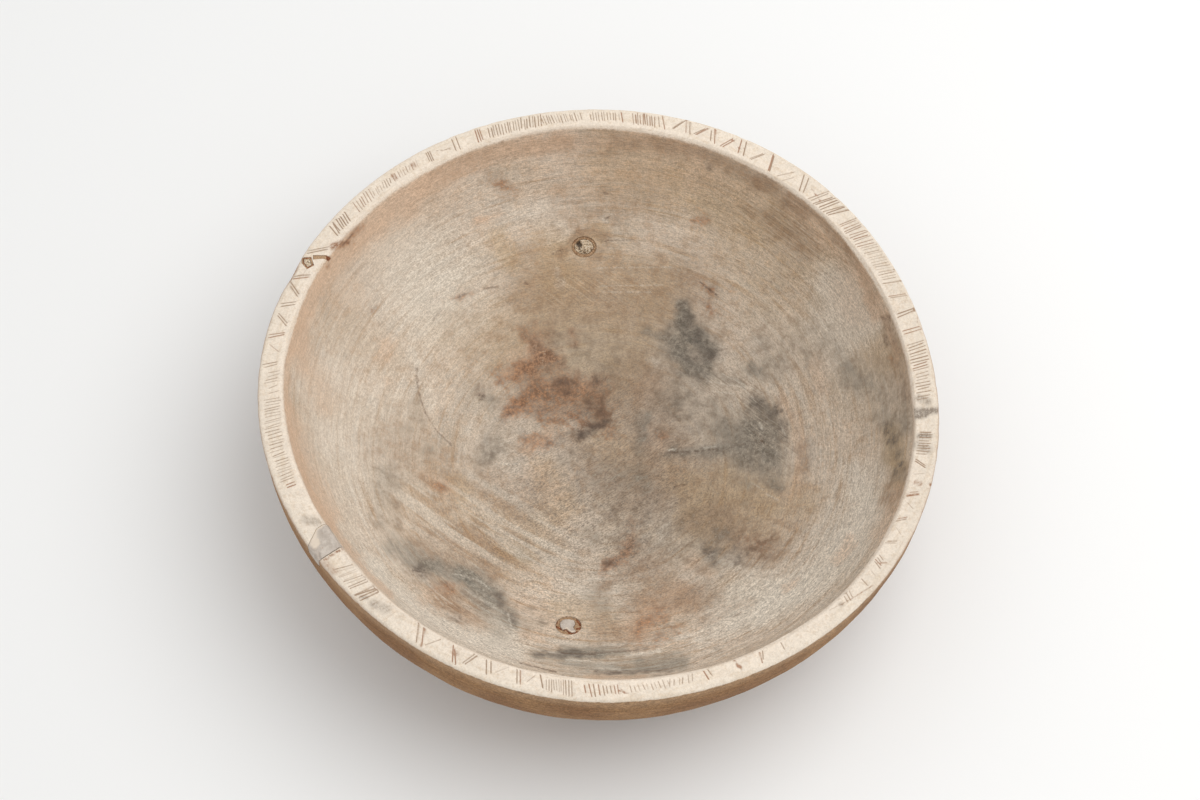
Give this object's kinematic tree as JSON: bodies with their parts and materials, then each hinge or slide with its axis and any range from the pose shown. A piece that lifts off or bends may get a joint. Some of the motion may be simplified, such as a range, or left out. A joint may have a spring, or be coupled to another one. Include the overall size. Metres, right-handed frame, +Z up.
{
  "type": "root bowl",
  "caption": "Wide round bowl carved from one root block, with a bleached inside, a flat scraped rim cut with short hatched marks, dead knots and pale putty fills.",
  "frame": {"origin": "on the underside of the foot, below the middle of the bowl's outline", "axes": "+Z up out of the bowl's opening, +X to the right and -Y towards the near side of the rim as pictured"},
  "size_m": [0.4188, 0.422, 0.118],
  "materials": {
    "bleached_root_wood": "dry, bleached and scraped, with brown and grey stains inside and a pale cream rim",
    "knot_wood": "dry, crumbling heart of a dead knot",
    "bark": "dark brown, rough bark",
    "pale_putty": "matt, pale grey wood putty, rubbed smooth"
  },
  "bodies": {
    "root": {"bowl_body": "bleached_root_wood", "wall_knot_core": "knot_wood", "wall_knot_bark": "bark", "floor_knot_putty": "pale_putty", "floor_knot_bark": "bark", "rim_crack_putty": "pale_putty", "rim_bark_seam": "bark", "rim_knot_core": "knot_wood", "rim_knot_bark": "bark"}
  },
  "joints": []
}
